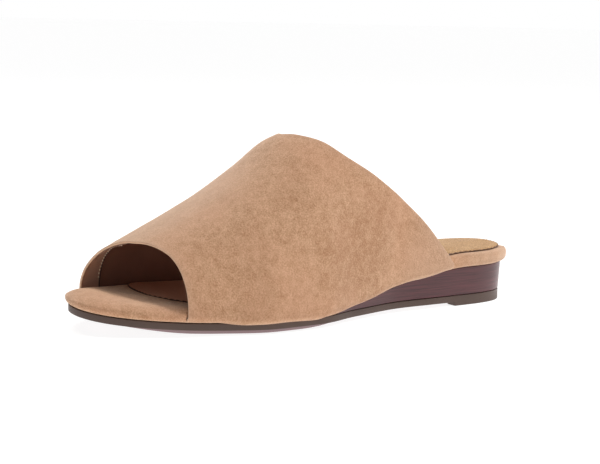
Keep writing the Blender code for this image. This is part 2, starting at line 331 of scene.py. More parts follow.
every_station = np.linspace(0, FOOTBED_LENGTH, 2001)
widest, narrowest = outline(every_station, -VAMP_PROUD)
shoe_middle = -(widest.max() + narrowest.min()) / 2
breast = FOOTBED_LENGTH - HEEL_INSET - HEEL_TREAD_LENGTH


def tread(station):
    """Share of the tread's height that stands down: the forefoot pad, then the heel pad."""
    share = station / FOOTBED_LENGTH
    pad = ease((share - TREAD_FRONT) / (TREAD_FULL - TREAD_FRONT))
    pad = pad * (1 - ease((share - TREAD_FADE) / (TREAD_END - TREAD_FADE)))
    return np.where(station > breast + BREAST_DRAFT / 2, 1.0, pad)


def side_foot(station):
    return np.where(station > breast + BREAST_DRAFT / 2, 0.0, TREAD_HEIGHT + toe_lift(station))


def tread_foot(station):
    return TREAD_HEIGHT * (1 - tread(station)) + toe_lift(station)


def outsole_ring(extra, height):
    def sides(station):
        lean = OUTSOLE_LEAN * shank_rise(station) / HEEL_SEAT_RISE
        return outline(station, sole_inset(station) + lean + extra)

    last = FOOTBED_LENGTH - HEEL_INSET - OUTSOLE_LEAN - extra
    front = spaced(OUTSOLE_INSET + extra, breast, SIDE_STEPS - HEEL_STEPS, tight_end=False)
    back = spaced(breast + BREAST_DRAFT, last, HEEL_STEPS, tight_start=False)
    return ring(np.concatenate((front, back)), sides, height)


def quarter(radius):
    """Inset and height of points round a quarter circle, from its base inwards to its top."""
    angles = [pi / 2 * i / ARC_STEPS for i in range(ARC_STEPS + 1)]
    return [(radius * (1 - cos(a)), radius * sin(a)) for a in angles]


def tread_side(share):
    """Heights a share of the way up the tread's side."""
    return lambda s: tread_foot(s) + (side_foot(s) - tread_foot(s)) * share


tread_edge = TREAD_INSET + TREAD_DRAFT
field = tread_edge + TREAD_RIM
outsole_rings = [
    outsole_ring(field + RIB_HEIGHT, lambda s: tread_foot(s) + RIB_HEIGHT * tread(s)),
    outsole_ring(field, tread_foot),
    outsole_ring(tread_edge + OUTSOLE_EDGE, tread_foot),
    outsole_ring(tread_edge, tread_side(TREAD_SIDE_LOW)),
    outsole_ring(TREAD_INSET + OUTSOLE_EDGE, tread_side(TREAD_SIDE_HIGH)),
    outsole_ring(TREAD_INSET, side_foot),
]
for inset, rise in reversed(quarter(OUTSOLE_EDGE)):
    outsole_rings.append(outsole_ring(inset, lambda s, r=OUTSOLE_EDGE - rise: side_foot(s) + r))
for inset, rise in quarter(OUTSOLE_EDGE):
    outsole_rings.append(outsole_ring(inset, lambda s, r=OUTSOLE_EDGE - rise: outsole_top(s) - r))
ahead_of_breast = outsole_rings[0][:, 1] < breast - FOOTBED_LENGTH / 2 - BREAST_MARGIN
step_down = [ahead_of_breast * 1.0] * TREAD_RINGS
step_down += [ahead_of_breast * 0.0] * (len(outsole_rings) - TREAD_RINGS)
outsole = lofted("outsole_moulding", outsole_rings, nap=step_down)

ribs = bmesh.new()
forefoot_ribs = np.arange(RIB_START, TREAD_FADE * FOOTBED_LENGTH + RIB_OVERRUN, RIB_PITCH)
last_rib = FOOTBED_LENGTH - field - HEEL_INSET - HEEL_RIB_MARGIN
heel_ribs = np.arange(breast + HEEL_RIB_START, last_rib, RIB_PITCH)
for middle in np.concatenate((forefoot_ribs, heel_ribs)):
    heel_pad = middle > breast
    bow = -RIB_BOW / 2 if heel_pad else RIB_BOW
    outer, inner = outline(middle, sole_inset(middle) + field + RIB_END_GAP)
    rows = []
    for across in np.linspace(-1, 1, RIB_COLUMNS):
        x = (outer + inner) / 2 + (outer - inner) / 2 * across
        station = middle + bow * (1 - across * across) - bow / 2
        y = station - FOOTBED_LENGTH / 2
        foot = float(tread_foot(station))
        rows.append([
            ribs.verts.new((x, y + RIB_WIDTH / 2 * wide, foot + RIB_HEIGHT * rise))
            for wide, rise in RIB_SECTION
        ])
    for near, far in zip(rows, rows[1:]):
        for i in range(4):
            ribs.faces.new((near[i], near[(i + 1) % 4], far[(i + 1) % 4], far[i]))
    ribs.faces.new(rows[0][::-1])
    ribs.faces.new(rows[-1])
bmesh.ops.recalc_face_normals(ribs, faces=ribs.faces)
tread_ribs = from_shape("outsole_tread_ribs", ribs)

# Moulded rubber: a satin skin, faintly clouded, and left a dull mauve on the step down to the tread.
# The grain it takes from its mould is drawn coarser than real, so that it shows.
RUBBER = linear("#54423a")
RUBBER_WORN = linear("#635048")
RUBBER_TREAD = linear("#9a8183")
MOULD_GRAIN = 0.0006
MOULD_CLOUD = 0.018
moulded_rubber, place = start_material("moulded_rubber")
cloudy = add_node(moulded_rubber, "TexNoise", {"Vector": place, "Scale": 1 / MOULD_CLOUD, "Detail": 3.0})
tone = add_node(moulded_rubber, "Mix", {0: cloudy, 6: RUBBER, 7: RUBBER_WORN}, data_type="RGBA")
stepped = add_node(moulded_rubber, "Attribute", {}, attribute_name="nap").outputs["Fac"]
tone = add_node(moulded_rubber, "Mix", {0: stepped, 6: tone, 7: RUBBER_TREAD}, data_type="RGBA")
grain = add_node(moulded_rubber, "TexNoise", {"Vector": place, "Scale": 1 / MOULD_GRAIN, "Detail": 2.0})
relief = add_node(moulded_rubber, "Bump", {"Height": grain, "Strength": 0.25, "Distance": 0.0002})
shader = add_node(moulded_rubber, "BsdfPrincipled", {
    "Base Color": tone,
    "Roughness": 0.52,
    "IOR": 1.52,
    "Specular IOR Level": 0.35,
    "Normal": relief,
})
add_node(moulded_rubber, "OutputMaterial", {"Surface": shader})

for piece in (outsole, tread_ribs):
    piece.data.materials.append(moulded_rubber)
    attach(piece, "root")
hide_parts("outsole")

# Heel wedge
# Thin boards stacked flat, glued, ground to the last's outline and lacquered dark. The wedge fills
# the space under heel and shank, feathers out at the ball, and is cemented to footbed and outsole.
CLEARANCE = 0.0003
WEDGE_LEAN = 0.0008
WEDGE_FEATHER = 0.0004
WEDGE_EDGE = 0.00025
WEDGE_LEVELS = 12


def footbed_underside(station):
    return outsole_top(station) + CLEARANCE + shank_rise(station)


def wedge_floor(station):
    return outsole_top(station) + CLEARANCE


def wedge_roof(station):
    return footbed_underside(station) - CLEARANCE


def wedge_ring(share, inset):
    def height(station):
        return wedge_floor(station) + (wedge_roof(station) - wedge_floor(station)) * share

    def sides(station):
        lean = WEDGE_LEAN * (wedge_roof(station) - height(station)) / (HEEL_SEAT_RISE - CLEARANCE)
        return outline(station, sole_inset(station) + lean + inset)

    last = FOOTBED_LENGTH - HEEL_INSET - WEDGE_LEAN * (1 - share) - inset
    return ring(spaced(wedge_front, last, SIDE_STEPS, tight_start=False), sides, height)


wedge_front = every_station[np.argmax(shank_rise(every_station) >= WEDGE_FEATHER + CLEARANCE)]
wedge_rings = [wedge_ring(0.0, WEDGE_EDGE)]
for share in np.linspace(0.02, 0.98, WEDGE_LEVELS):
    wedge_rings.append(wedge_ring(share, 0.0))
wedge_rings.append(wedge_ring(1.0, WEDGE_EDGE))
wedge = lofted("heel_wedge_stack", wedge_rings)

# Lacquered stacked board: level streaks of brown and plum under a clear coat, glossy enough to carry
# a soft highlight down the back
BOARD_DARK = linear("#4a282b")
BOARD_PLUM = linear("#66363a")
BOARD_THICKNESS = 0.0022
STREAK_HEIGHT = 0.00035
STREAK_LENGTH = 0.020
stacked_board, place = start_material("lacquered_stacked_board")
stretch = add_node(stacked_board, "Mapping", {
    "Vector": place,
    "Scale": (1 / STREAK_LENGTH, 1 / STREAK_LENGTH, 1 / STREAK_HEIGHT),
})
streaks = add_node(stacked_board, "TexNoise", {"Vector": stretch, "Scale": 1.0, "Detail": 3.0})
spread = add_node(stacked_board, "MapRange", {"Value": streaks, 1: 0.30, 2: 0.70})
# A wave of scale 1 has its bands 2 pi / 20 apart
joints = add_node(stacked_board, "TexWave", {
    "Vector": place,
    "Scale": 2 * pi / (20 * BOARD_THICKNESS),
    "Distortion": 0.6,
    "Detail Scale": 0.3,
}, wave_type="BANDS", bands_direction="Z")
line = add_node(stacked_board, "MapRange", {
    "Value": joints.outputs["Fac"],
    1: 0.0,
    2: 0.12,
    3: 0.9,
    4: 1.0,
})
boards = add_node(stacked_board, "Mix", {0: spread, 6: BOARD_DARK, 7: BOARD_PLUM}, data_type="RGBA")
shaded = add_node(stacked_board, "Mix", {
    0: 1.0,
    6: boards,
    7: line,
}, data_type="RGBA", blend_type="MULTIPLY")
relief = add_node(stacked_board, "Bump", {"Height": streaks, "Strength": 0.3, "Distance": 0.0002})
shader = add_node(stacked_board, "BsdfPrincipled", {
    "Base Color": shaded,
    "Roughness": 0.45,
    "IOR": 1.5,
    "Specular IOR Level": 0.25,
    "Coat Weight": 0.45,
    "Coat Roughness": 0.24,
    "Normal": relief,
})
add_node(stacked_board, "OutputMaterial", {"Surface": shader})
wedge.data.materials.append(stacked_board)
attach(wedge, "root")
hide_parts("heel_wedge")

# Footbed
# A thin shaped board wrapped in the same suede as the vamp, with a full round rim on top and a tight
# one below. Its edge is let in where the vamp passes down over it and turns in underneath.
FOOTBED_THICKNESS = 0.007
TOP_RADIUS = 0.003
LOWER_RADIUS = 0.0026
VAMP_WALL = 0.0018
LASTING_MARGIN = 0.010
SEAT_STEP = 0.00015
FOOTBED_CROWN = 0.0003
CROWN_REACH = 0.012
UNDERSIDE_INSETS = (0.004, 0.0003)
LET_IN_INSET = 0.007
TOP_INSETS = (0.005, 0.008, 0.012, 0.016, 0.020, 0.024)
SOFT_REACH = 0.0110
SOFT_TAPER = 0.815
SOFT_DROP = 0.0014
SOFT_START = 0.026
SOFT_END = 0.056
HEEL_PALING = 0.35
HEEL_PALING_START = 0.195
HEEL_PALING_LENGTH = 0.03
LEAST_FRONT = 0.002
RIM_SHARE = 0.043
RIM_HEIGHT = 0.0097
FRONT_STEPS = 50
MIDDLE_STEPS = 110
BACK_STEPS = 40

# Cut edges of the vamp, from the outer side's base (0) over the crest (0.5) to the inner side's
# base (1): shares of the footbed's length of the toe opening and of the collar
Cut = namedtuple("Cut", "at opening collar")
VAMP_CUTS = (
    Cut(0.000, 0.1630, 0.800),
    Cut(0.017, 0.1630, 0.786),
    Cut(0.043, 0.1630, 0.763),
    Cut(0.100, 0.1625, 0.713),
    Cut(0.192, 0.1605, 0.627),
    Cut(0.286, 0.1560, 0.549),
    Cut(0.346, 0.1500, 0.518),
    Cut(0.425, 0.1400, 0.482),
    Cut(0.500, 0.1258, 0.464),
    Cut(0.575, 0.1120, 0.480),
    Cut(0.654, 0.0990, 0.518),
    Cut(0.750, 0.0885, 0.580),
    Cut(0.860, 0.0772, 0.672),
    Cut(0.957, 0.0732, 0.762),
    Cut(1.000, 0.0728, 0.794),
)
seat_inset = VAMP_WALL - VAMP_PROUD + CLEARANCE
seat_rise = VAMP_WALL + CLEARANCE
corner_radius = LOWER_RADIUS + VAMP_PROUD
margin_reach = LOWER_RADIUS + LASTING_MARGIN + CLEARANCE


def softness(station):
    """1 at the toe, where the padding under the suede rounds the rim off, and 0 at the sock lining."""
    return 1 - ease((station - SOFT_START) / (SOFT_END - SOFT_START))


def footbed_profile():
    """Inset and rise of the footbed's section, from its underside to its top, free and under the vamp."""
    free, seated = [], []
    underside = [(margin_reach + inset, 0) for inset in UNDERSIDE_INSETS]
    for inset, sunk in underside + [(margin_reach, 1), (LET_IN_INSET, 1)]:
        free.append((inset, 0.0))
        seated.append((inset, seat_rise * sunk))
    for i in range(7):
        angle = pi / 2 * (i / 6 - 1)
        free.append((LOWER_RADIUS * (1 - cos(angle)), LOWER_RADIUS * (1 + sin(angle))))
        small = LOWER_RADIUS - seat_inset
        seated.append((LOWER_RADIUS - small * cos(angle), corner_radius + small * sin(angle)))
    for i in range(9):
        angle = pi / 2 * i / 8
        inset = TOP_RADIUS * (1 - cos(angle))
        rise = FOOTBED_THICKNESS - TOP_RADIUS * (1 - sin(angle))
        free.append((inset, rise))
        seated.append((max(inset, seat_inset), rise))
    for inset in TOP_INSETS:
        crown = FOOTBED_CROWN * min(1.0, (inset - TOP_RADIUS) / CROWN_REACH)
        free.append((inset, FOOTBED_THICKNESS + crown))
        seated.append((inset, FOOTBED_THICKNESS + crown))
    return free, seated


def vamp_share_at(rise, side):
    """Roughly where round the vamp a height on the footbed's edge comes, for its cut edges."""
    near = RIM_SHARE * clamp((rise - corner_radius) / RIM_HEIGHT)
    return near if side == 0 else 1 - near


def edge_stations(inset, rise, side):
    """Stations along one side of the footbed, with a step where each cut edge of the vamp crosses it."""
    around = vamp_share_at(rise, side)
    opening = FOOTBED_LENGTH * float(read(VAMP_CUTS, "opening", around)) - CLEARANCE
    collar = FOOTBED_LENGTH * float(read(VAMP_CUTS, "collar", around)) + CLEARANCE
    first = min(inset, opening - LEAST_FRONT)
    front = spaced(first, opening, FRONT_STEPS, tight_end=False)
    middle = spaced(opening + SEAT_STEP, collar - SEAT_STEP, MIDDLE_STEPS, False, False)
    back = spaced(collar, FOOTBED_LENGTH - inset, BACK_STEPS, tight_start=False)
    return np.concatenate((front, middle, back))


covered = np.zeros(FRONT_STEPS + MIDDLE_STEPS + BACK_STEPS + 3)
covered[FRONT_STEPS + 1:FRONT_STEPS + MIDDLE_STEPS + 2] = 1.0
footbed_rings = []
top_start = FOOTBED_THICKNESS - TOP_RADIUS
for free, seated in zip(*footbed_profile()):
    rounding = clamp((free[1] - top_start) / TOP_RADIUS)
    reach = SOFT_REACH * (1 - (1 - rounding * rounding) ** 0.5)
    if free[1] >= FOOTBED_THICKNESS:
        reach = max(0.0, SOFT_REACH - SOFT_TAPER * (free[0] - TOP_RADIUS))
    points = []
    for side in (0, 1):
        stations = edge_stations(free[0] + reach, free[1], side)
        soft = softness(stations)
        inset = free[0] + (seated[0] - free[0]) * covered + reach * soft
        rise = free[1] + (seated[1] - free[1]) * covered
        rise = rise - SOFT_DROP * (1 - rounding) * soft * clamp(rise / LOWER_RADIUS - 1)
        rise = rise - max(0.0, free[1] - FOOTBED_THICKNESS) * soft
        x = outline(stations, inset)[side]
        line = np.stack((x, stations - FOOTBED_LENGTH / 2, footbed_underside(stations) + rise), axis=1)
        points.append(line if side == 0 else line[::-1])
    footbed_rings.append(np.concatenate(points))
# The suede is drawn paler towards the heel
paler_heel = []
for points in footbed_rings:
    station = points[:, 1] + FOOTBED_LENGTH / 2
    paler_heel.append(HEEL_PALING * ease((station - HEEL_PALING_START) / HEEL_PALING_LENGTH))
footbed = lofted("footbed_wrap", footbed_rings, nap=paler_heel)

# Brushed suede: a split with its nap raised, so it scatters light with no gloss, glows at grazing
# angles, and shows paler and deeper where the nap lies one way or the other. Nap above 0 makes it paler:
# worn at the vamp's edges, painted light on the vamp, and paler towards the footbed's heel. Below 0 makes
# it deeper, as painted shade.
SUEDE_DEEP = linear("#bd8b64")
SUEDE_PALE = linear("#ebc4a0")
SUEDE_ROSY = linear("#e0ac8a")
SUEDE_PALED = linear("#e2c2a7")
NAP_PATCH = 0.016
NAP_STROKE = 0.004
NAP_BLUSH = 0.034
NAP_FIBRE = 0.0007  # drawn coarser than the real fibre, so that it shows
brushed_suede, place = start_material("brushed_suede")
patches = add_node(brushed_suede, "TexNoise", {"Vector": place, "Scale": 1 / NAP_PATCH, "Detail": 4.0})
strokes = add_node(brushed_suede, "TexNoise", {"Vector": place, "Scale": 1 / NAP_STROKE, "Detail": 3.0})
fibres = add_node(brushed_suede, "TexNoise", {"Vector": place, "Scale": 1 / NAP_FIBRE, "Detail": 2.0})
lie = add_node(brushed_suede, "Math", {0: patches, 1: 0.45, 2: strokes}, operation="MULTIPLY_ADD")
lie = add_node(brushed_suede, "Math", {0: fibres, 1: 2.2, 2: lie}, operation="MULTIPLY_ADD")
lay = add_node(brushed_suede, "MapRange", {"Value": lie, 1: 1.2, 2: 2.4})
paling = add_node(brushed_suede, "Attribute", {}, attribute_name="nap").outputs["Fac"]
# Below 0 the nap darkens the suede, as painted shade
painted_shade = add_node(brushed_suede, "Math", {0: paling, 1: 0.0}, operation="MINIMUM")
lay = add_node(brushed_suede, "Math", {
    0: painted_shade,
    1: 0.8,
    2: lay,
}, operation="MULTIPLY_ADD", use_clamp=True)
tone = add_node(brushed_suede, "Mix", {0: lay, 6: SUEDE_DEEP, 7: SUEDE_PALE}, data_type="RGBA")
blush = add_node(brushed_suede, "TexNoise", {
    "Vector": place,
    "Scale": 1 / NAP_BLUSH,
    "Detail": 2.0,
    "Roughness": 0.6,
})
blushed = add_node(brushed_suede, "MapRange", {"Value": blush, 1: 0.42, 2: 0.72, 3: 0.0, 4: 0.32})
tone = add_node(brushed_suede, "Mix", {0: blushed, 6: tone, 7: SUEDE_ROSY}, data_type="RGBA")
paled = add_node(brushed_suede, "Mix", {0: paling, 6: tone, 7: SUEDE_PALED}, data_type="RGBA")
soft = add_node(brushed_suede, "Bump", {"Height": strokes, "Strength": 0.4, "Distance": 0.0006})
relief = add_node(brushed_suede, "Bump", {
    "Height": fibres,
    "Strength": 0.8,
    "Distance": 0.0003,
    "Normal": soft,
})
shader = add_node(brushed_suede, "BsdfPrincipled", {
    "Base Color": paled,
    "Roughness": 0.95,
    "Diffuse Roughness": 1.0,
    "IOR": 1.4,
    "Specular IOR Level": 0.2,
    "Sheen Weight": 0.4,
    "Sheen Roughness": 0.5,
    "Sheen Tint": linear("#fff2e8"),
    "Normal": relief,
})
add_node(brushed_suede, "OutputMaterial", {"Surface": shader})
footbed.data.materials.append(brushed_suede)
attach(footbed, "root")
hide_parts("footbed")

# Sock lining
# A thin pad of tan grained leather, die-cut, stitched near its burnished edge and cemented on the
# footbed, a few millimetres in from the rim and short of the toe.
SOCK_THICKNESS = 0.0010
SOCK_INSET = 0.004
SOCK_FRONT = 0.0392
SOCK_OUTER_ROUNDING = 0.030
SOCK_OUTER_POWER = 1.6
SOCK_INNER_ROUNDING = 0.012
SOCK_INNER_POWER = 2.0
STITCH_INSET = 0.0004
STITCH_RISE = 0.0007
STITCH_LENGTH = 0.0024
STITCH_PITCH = 0.0034
THREAD = 0.0006
SKIVED_RIM = ((0.0, 0.0002), (0.0, 0.0006), (0.0002, 0.0008), (0.0008, 0.0010), (0.0018, 0.0013))
PAD_INSETS = (0.0032, 0.005, 0.008, 0.014, 0.020)
# Painted shade: a redder tone towards the pad's front, where the vamp shades it
FOREPART_SHADE_TINT = 0.9
FOREPART_START = 0.07
FOREPART_LENGTH = 0.06


def footbed_top(station):
    return footbed_underside(station) + FOOTBED_THICKNESS


def sock_ring(inset, rise):
    front = SOCK_FRONT + inset - SOCK_INSET

    def sides(station):
        outer, inner = outline(station, inset)
        outer_share = rounded_end(station - front, SOCK_OUTER_ROUNDING, SOCK_OUTER_POWER)
        inner_share = rounded_end(station - front, SOCK_INNER_ROUNDING, SOCK_INNER_POWER)
        middle = (outer + inner) / 2
        return middle + (outer - middle) * outer_share, middle + (inner - middle) * inner_share

    return ring(spaced(front, FOOTBED_LENGTH - inset, SIDE_STEPS), sides, lambda s: footbed_top(s) + rise)


# Inset and rise of the pad's section: skived thin at its rim, full a few millimetres in
sock_top = CLEARANCE + SOCK_THICKNESS
sock_levels = list(SKIVED_RIM) + [(inset, sock_top) for inset in PAD_INSETS]
# The pad's skived rim takes the dark burnished edge, whose tone is partly painted shade
side_tiers = [1, 1] + [0] * (len(sock_levels) - 3)
sock_rings = [sock_ring(SOCK_INSET + inset, rise) for inset, rise in sock_levels]
shade_tinted_forepart = []
for points in sock_rings:
    station = points[:, 1] + FOOTBED_LENGTH / 2
    shade_tinted_forepart.append(FOREPART_SHADE_TINT * (1 - ease((station - FOREPART_START) / FOREPART_LENGTH)))
sock = lofted("sock_pad", sock_rings, tiers=side_tiers, nap=shade_tinted_forepart)


def resampled(points, pitch, closed=True):
    """Points a pitch apart along a line, with the direction of the line at each."""
    loop = np.concatenate((points, points[:1])) if closed else points
    lengths = np.linalg.norm(np.diff(loop, axis=0), axis=1)
    along = np.concatenate(([0.0], np.cumsum(lengths)))
    count = int(along[-1] // pitch)
    at = np.arange(count) * along[-1] / count
    found = np.stack([np.interp(at, along, loop[:, k]) for k in range(3)], axis=1)
    ahead = np.stack([np.interp((at + pitch / 4) % along[-1], along, loop[:, k]) for k in range(3)], axis=1)
    return found, ahead - found


def stitched(name, places, headings, ups, length=STITCH_LENGTH, thread=THREAD):
    """A row of stitches, each a short plump thread sunk a little at both ends."""
    shape = bmesh.new()
    for place, heading, up in zip(places, headings, ups):
        forward = Vector(heading).normalized()
        upward = (Vector(up) - Vector(up).dot(forward) * forward).normalized()
        side = upward.cross(forward)
        turned = Matrix((forward, side, upward)).transposed().to_4x4()
        size = Matrix.Diagonal((length / 2, thread / 2, thread / 2, 1.0))
        bmesh.ops.create_uvsphere(
            shape, u_segments=8, v_segments=6, radius=1.0,
            matrix=Matrix.Translation(Vector(place)) @ turned @ size @ Matrix.Rotation(pi / 2, 4, "Y"),
        )
    return from_shape(name, shape, 80)


seam_line = sock_ring(SOCK_INSET + STITCH_INSET, STITCH_RISE)
places, headings = resampled(seam_line, STITCH_PITCH)
sock_stitches = stitched("sock_stitches", places, headings, [(0, 0, 1)] * len(places))

# Grained leather: tan, drum-dyed, with a satin finish that is darker in its pores. Towards its front
# it is painted a redder tone that stands in for the vamp's shade on it. Its fine pebble is drawn coarser
# than real, so that it shows.
SOCK_TAN = linear("#c09a70")
SOCK_GOLD = linear("#d3ae7e")
SOCK_PORE = linear("#926839")
SOCK_SHADE_TINT = linear("#d6a084")
PEBBLE = 0.0012
TAN_CLOUD = 0.012
grained_leather, place = start_material("grained_leather")
pebbles = add_node(grained_leather, "TexVoronoi", {
    "Vector": place,
    "Scale": 1 / PEBBLE,
}, feature="DISTANCE_TO_EDGE")
pores = add_node(grained_leather, "MapRange", {"Value": pebbles, 1: 0.0, 2: 0.26})
clouds = add_node(grained_leather, "TexNoise", {"Vector": place, "Scale": 1 / TAN_CLOUD, "Detail": 3.0})
tone = add_node(grained_leather, "Mix", {0: clouds, 6: SOCK_TAN, 7: SOCK_GOLD}, data_type="RGBA")
pitted = add_node(grained_leather, "Mix", {0: pores, 6: SOCK_PORE, 7: tone}, data_type="RGBA")
relief = add_node(grained_leather, "Bump", {"Height": pores, "Strength": 0.5, "Distance": 0.0002})
# The redder tone at the front is painted shade
shade_tint = add_node(grained_leather, "Attribute", {}, attribute_name="nap").outputs["Fac"]
shade_tinted = add_node(grained_leather, "Mix", {0: shade_tint, 6: pitted, 7: SOCK_SHADE_TINT}, data_type="RGBA")
shader = add_node(grained_leather, "BsdfPrincipled", {
    "Base Color": shade_tinted,
    "Roughness": 0.5,
    "IOR": 1.5,
    "Specular IOR Level": 0.4,
    "Coat Weight": 0.12,
    "Coat Roughness": 0.3,
    "Normal": relief,
})
add_node(grained_leather, "OutputMaterial", {"Surface": shader})

THREAD_BROWN = linear("#5b3a22")
THREAD_TWIST = 0.0004


def twisted_thread(name, colour, roughness):
    """A thread's material, ribbed by the twist of its plies."""
    thread, place = start_material(name)
    twist = add_node(thread, "TexNoise", {"Vector": place, "Scale": 1 / THREAD_TWIST, "Detail": 1.0})
    relief = add_node(thread, "Bump", {"Height": twist, "Strength": 0.4, "Distance": 0.0001})
    shader = add_node(thread, "BsdfPrincipled", {
        "Base Color": colour,
        "Roughness": roughness,
        "Normal": relief,
    })
    add_node(thread, "OutputMaterial", {"Surface": shader})
    return thread


# Waxed thread: dark brown, round and slightly glossy
waxed_thread = twisted_thread("waxed_brown_thread", THREAD_BROWN, 0.5)

# Burnished edge: the pad's cut side, waxed dark, its tone also painted shade along the gap at its rim
EDGE_WAX_AND_SHADE = linear("#4a2d1d")
WAX_STREAK = 0.002
burnished_edge_and_shade, place = start_material("burnished_edge_and_painted_shade")
streak = add_node(burnished_edge_and_shade, "TexNoise", {"Vector": place, "Scale": 1 / WAX_STREAK, "Detail": 2.0})
tone = add_node(burnished_edge_and_shade, "Mix", {0: streak, 6: EDGE_WAX_AND_SHADE, 7: THREAD_BROWN}, data_type="RGBA")
shader = add_node(burnished_edge_and_shade, "BsdfPrincipled", {
    "Base Color": tone,
    "Roughness": 0.5,
    "Specular IOR Level": 0.3,
})
add_node(burnished_edge_and_shade, "OutputMaterial", {"Surface": shader})

sock.data.materials.append(grained_leather)
sock.data.materials.append(burnished_edge_and_shade)
sock_stitches.data.materials.append(waxed_thread)
for piece in (sock, sock_stitches):
    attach(piece, "root")
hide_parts("sock_lining")

# Vamp
# One piece of suede, bonded to a thin dark lining, cut open at the toe and at the collar. It is
# lasted over the foot form, turned in under the footbed and cemented there.
INSTEP_HEIGHT = 0.0855
MARGIN_CUT_BACK = 0.004
SUEDE_THICKNESS = 0.00115
EDGE_ROUND = 0.0004
MARGIN_COLUMNS = 4
CORNER_COLUMNS = 6
ARCH_COLUMNS = 150
VAMP_ROWS = 110
EDGE_STEPS = 4
EDGE_TIGHTNESS = 0.3
HANG_REACH = 0.06
HOLD_REACH = 0.05
SHOULDER_BLEND_START = 0.4
SHOULDER_BLEND = 0.2

# Vamp sections: crest as a share of the instep height, ridge towards the inner side as a share
# of the ball width, and the power that rounds each shoulder
Section = namedtuple("Section", "at crest ridge outer_shoulder inner_shoulder")
VAMP_SECTIONS = (
    Section(0.06, 0.300, 0.03, 2.3, 1.9),
    Section(0.10, 0.350, 0.03, 2.3, 2.0),
    Section(0.135, 0.395, 0.04, 2.2, 2.3),
    Section(0.16, 0.430, 0.04, 2.2, 2.5),
    Section(0.21, 0.505, 0.05, 2.2, 2.7),
    Section(0.26, 0.585, 0.06, 2.2, 2.7),
    Section(0.30, 0.652, 0.07, 2.2, 2.6),
    Section(0.38, 0.810, 0.09, 2.1, 2.4),
    Section(0.464, 0.990, 0.10, 2.0, 2.2),
    Section(0.55, 1.070, 0.11, 2.0, 2.0),
    Section(0.65, 1.120, 0.11, 2.0, 2.0),
    Section(0.75, 1.150, 0.11, 2.0, 2.0),
    Section(0.85, 1.160, 0.11, 2.0, 2.0),
)

# Soft forms in the suede: station, share round the vamp, turn from the shoe's length
# in degrees, half length and half width, and depth, which is negative for a ridge
Fold = namedtuple("Fold", "station around turn length width depth")
FOLDS = (
    Fold(0.172, 0.10, 35, 0.020, 0.008, 0.0006),
    Fold(0.160, 0.13, 42, 0.018, 0.006, -0.0004),
    Fold(0.150, 0.90, -35, 0.020, 0.008, 0.0006),
    Fold(0.086, 0.24, 60, 0.024, 0.009, 0.0004),
    Fold(0.100, 0.20, 55, 0.020, 0.008, -0.0003),
    Fold(0.062, 0.16, 20, 0.020, 0.010, 0.0003),
    Fold(0.119, 0.555, 0, 0.0065, 0.012, 0.0014),
)

# How far the vamp's turned edge hangs below the footbed, where it is pulled over the outsole's rim
Hang = namedtuple("Hang", "at drop")
HANG = (
    Hang(0.225, 0.0000),
    Hang(0.275, 0.0013),
    Hang(0.310, 0.0012),
    Hang(0.355, 0.0009),
    Hang(0.425, 0.0015),
    Hang(0.455, 0.0005),
    Hang(0.520, 0.0006),
    Hang(0.580, 0.0007),
    Hang(0.650, 0.0000),
    Hang(0.690, 0.0002),
    Hang(0.735, 0.0009),
    Hang(0.790, 0.0000),
)

# The collar's lower corner is drawn back to a point, and the whole face wavers a little
CORNER_POINT = 0.0012
GIRTH = 0.170
WAVER = 0.00018
WAVER_SIZE = 0.022

# Nap of the vamp, as shares: paler at the cut edges, for wear and a painted rim light; paler low down
# towards the heel and along the crest behind the toe, as painted light; and deeper at the waist of the
# outer side, as painted shade
EDGE_PALE_REACH = 0.0022
EDGE_WEAR_AND_RIM_LIGHT = 0.25
LOW_PAINTED_LIGHT = 0.02
REAR_PAINTED_LIGHT = 0.33
CREST_PAINTED_LIGHT = 0.4
WAIST_PAINTED_SHADE = 0.42
CUT_WEAR_AND_RIM_LIGHT = 0.6
LOW_REACH = 0.17
REAR_START = 0.42
REAR_LENGTH = 0.34
CREST_PLACE = 0.56
CREST_WIDTH = 0.12
CREST_END = 0.075
CREST_FADE = 0.04
WAIST_START = 0.40
WAIST_RISE = 0.10
WAIST_END = 0.58
WAIST_FALL = 0.16
WAIST_TOP = 0.10
WAIST_BLEND = 0.12


def vamp_columns():
    """The columns of the vamp's grid, from one turned-in margin over the crest to the other."""
    margin = [("margin", i / MARGIN_COLUMNS) for i in range(MARGIN_COLUMNS)]
    corner = [("corner", i / CORNER_COLUMNS) for i in range(CORNER_COLUMNS)]
    arch = [(0, "arch", i / ARCH_COLUMNS) for i in range(ARCH_COLUMNS + 1)]
    outer = [(0, zone, t) for zone, t in margin + corner]
    inner = [(1, zone, t) for zone, t in reversed(margin + corner)]
    return outer + arch + inner


